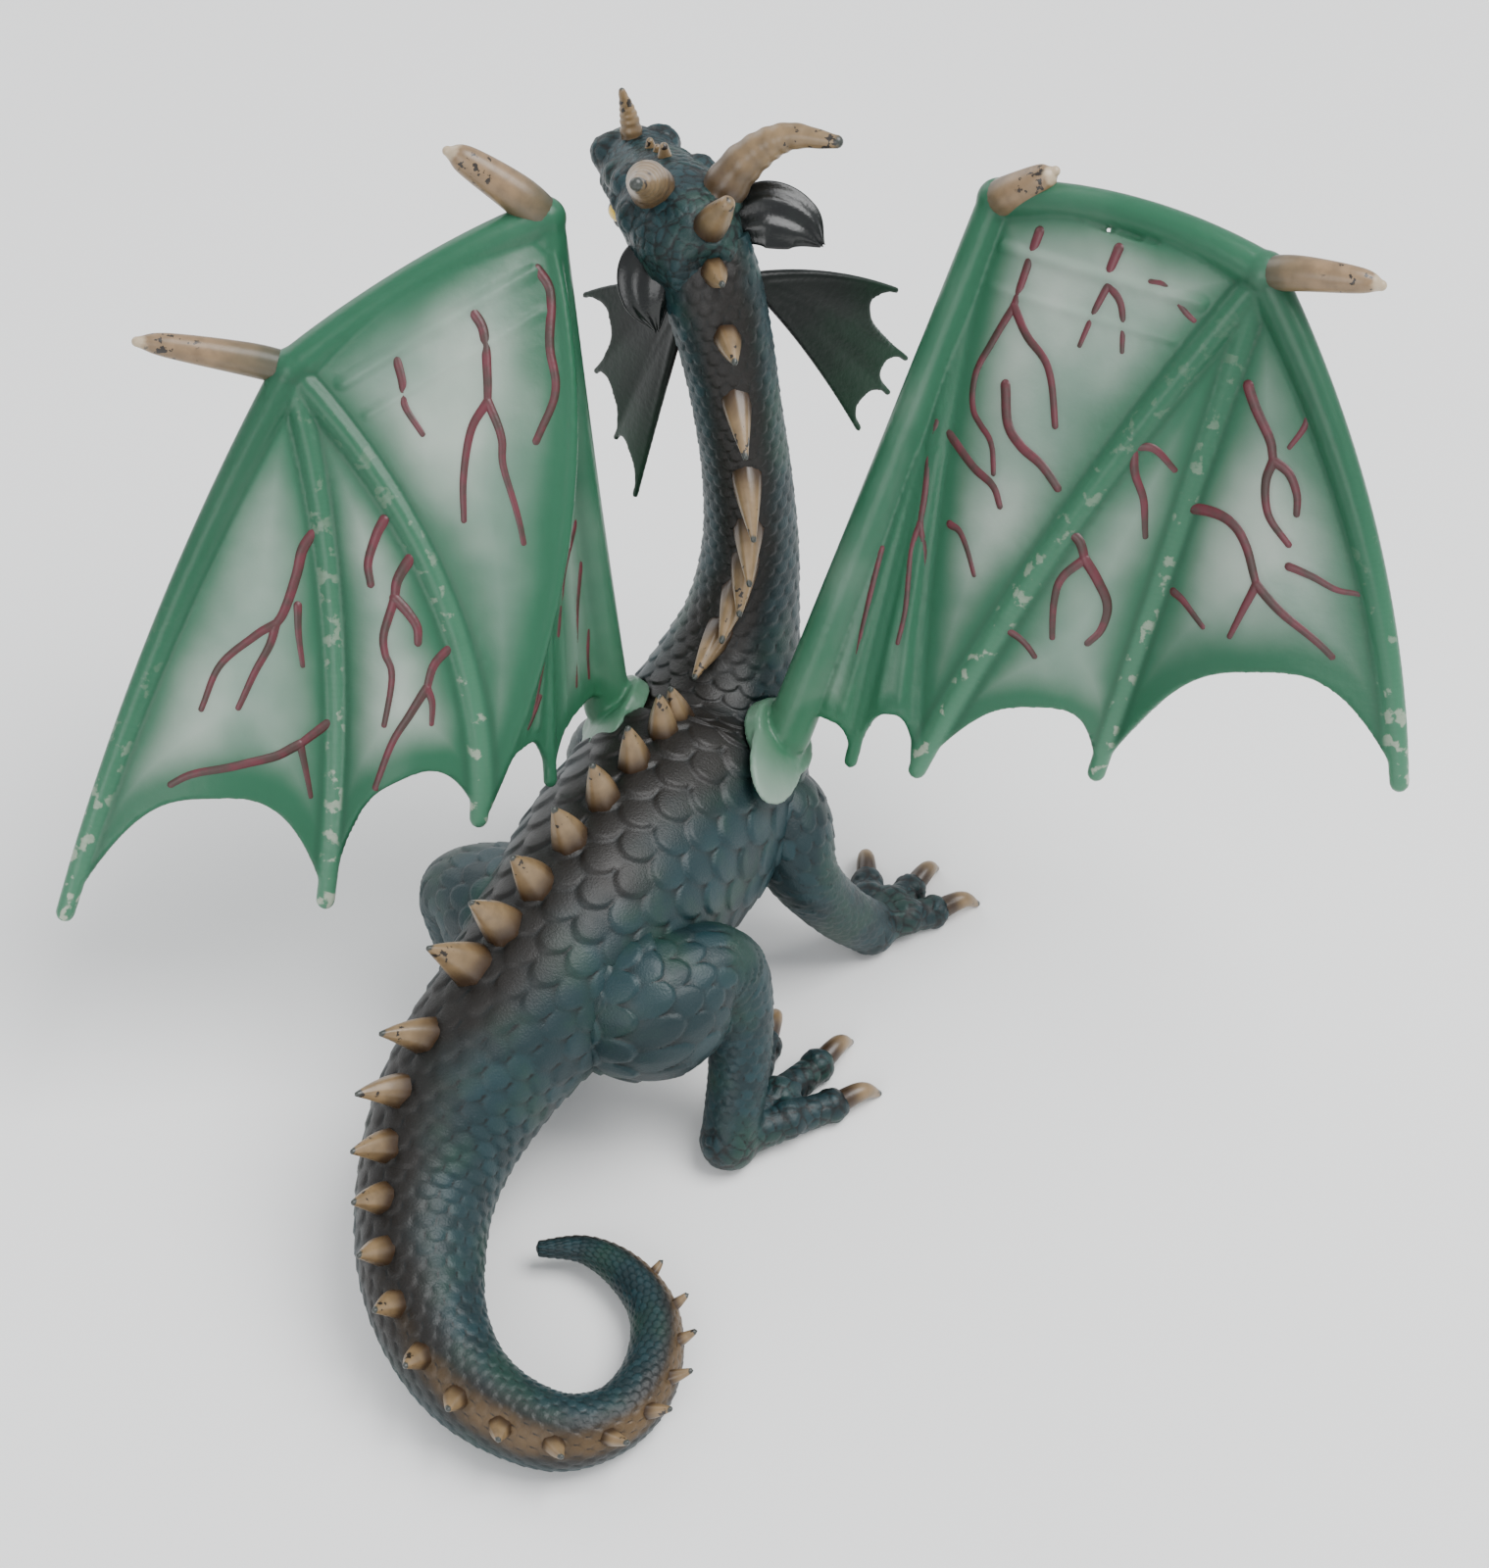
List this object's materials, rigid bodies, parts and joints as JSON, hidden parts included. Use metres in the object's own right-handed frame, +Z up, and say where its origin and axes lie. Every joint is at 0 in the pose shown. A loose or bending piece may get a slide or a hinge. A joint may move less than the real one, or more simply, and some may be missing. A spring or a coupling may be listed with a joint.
{
  "type": "dragon figure",
  "caption": "Moulded vinyl dragon figure on four feet with a curled tail and two translucent plug-in wings that swing at the shoulders.",
  "frame": {"origin": "on the table, under the middle of the figure's box", "axes": "-Y is the way the dragon faces, +X is its own left, +Z is up"},
  "size_m": [0.2252, 0.2036, 0.155],
  "materials": {
    "body_vinyl": "satin, painted over",
    "wing_vinyl": "translucent, satin",
    "wing_claw_paint": "satin",
    "horn_paint": "satin, chipped",
    "eye_paint": "gloss",
    "ear_vinyl": "gloss",
    "frill_vinyl": "satin",
    "throat_paint": "satin"
  },
  "bodies": {
    "figure": {"back_spines": "horn_paint", "brow_spikes": "horn_paint", "head": "body_vinyl", "left_ear": "ear_vinyl", "left_eye": "eye_paint", "left_fore_claws": "horn_paint", "left_fore_leg": "body_vinyl", "left_frill": "frill_vinyl", "left_hind_claws": "horn_paint", "left_hind_leg": "body_vinyl", "left_horn": "horn_paint", "lower_jaw": "body_vinyl", "neck": "body_vinyl", "neck_spines": "horn_paint", "nose_horn": "horn_paint", "right_ear": "ear_vinyl", "right_eye": "eye_paint", "right_fore_claws": "horn_paint", "right_fore_leg": "body_vinyl", "right_frill": "frill_vinyl", "right_hind_claws": "horn_paint", "right_hind_leg": "body_vinyl", "right_horn": "horn_paint", "tail": "body_vinyl", "tail_spines": "horn_paint", "throat_fin": "throat_paint", "torso": "body_vinyl"},
    "left_wing": {"left_wing": "wing_vinyl", "left_wing_claws": "wing_claw_paint"},
    "right_wing": {"right_wing": "wing_vinyl", "right_wing_claws": "wing_claw_paint"}
  },
  "joints": [
    {"name": "left_wing_swing", "type": "hinge", "parent": "figure", "child": "left_wing", "pos_m": [0.02725, -0.03006, 0.04932], "axis": [0.7507, 0, 0.6606], "range_deg": [-12, 20]},
    {"name": "right_wing_swing", "type": "hinge", "parent": "figure", "child": "right_wing", "pos_m": [-0.00075, -0.03006, 0.04932], "axis": [-0.7507, 0, 0.6606], "range_deg": [-20, 20]}
  ]
}
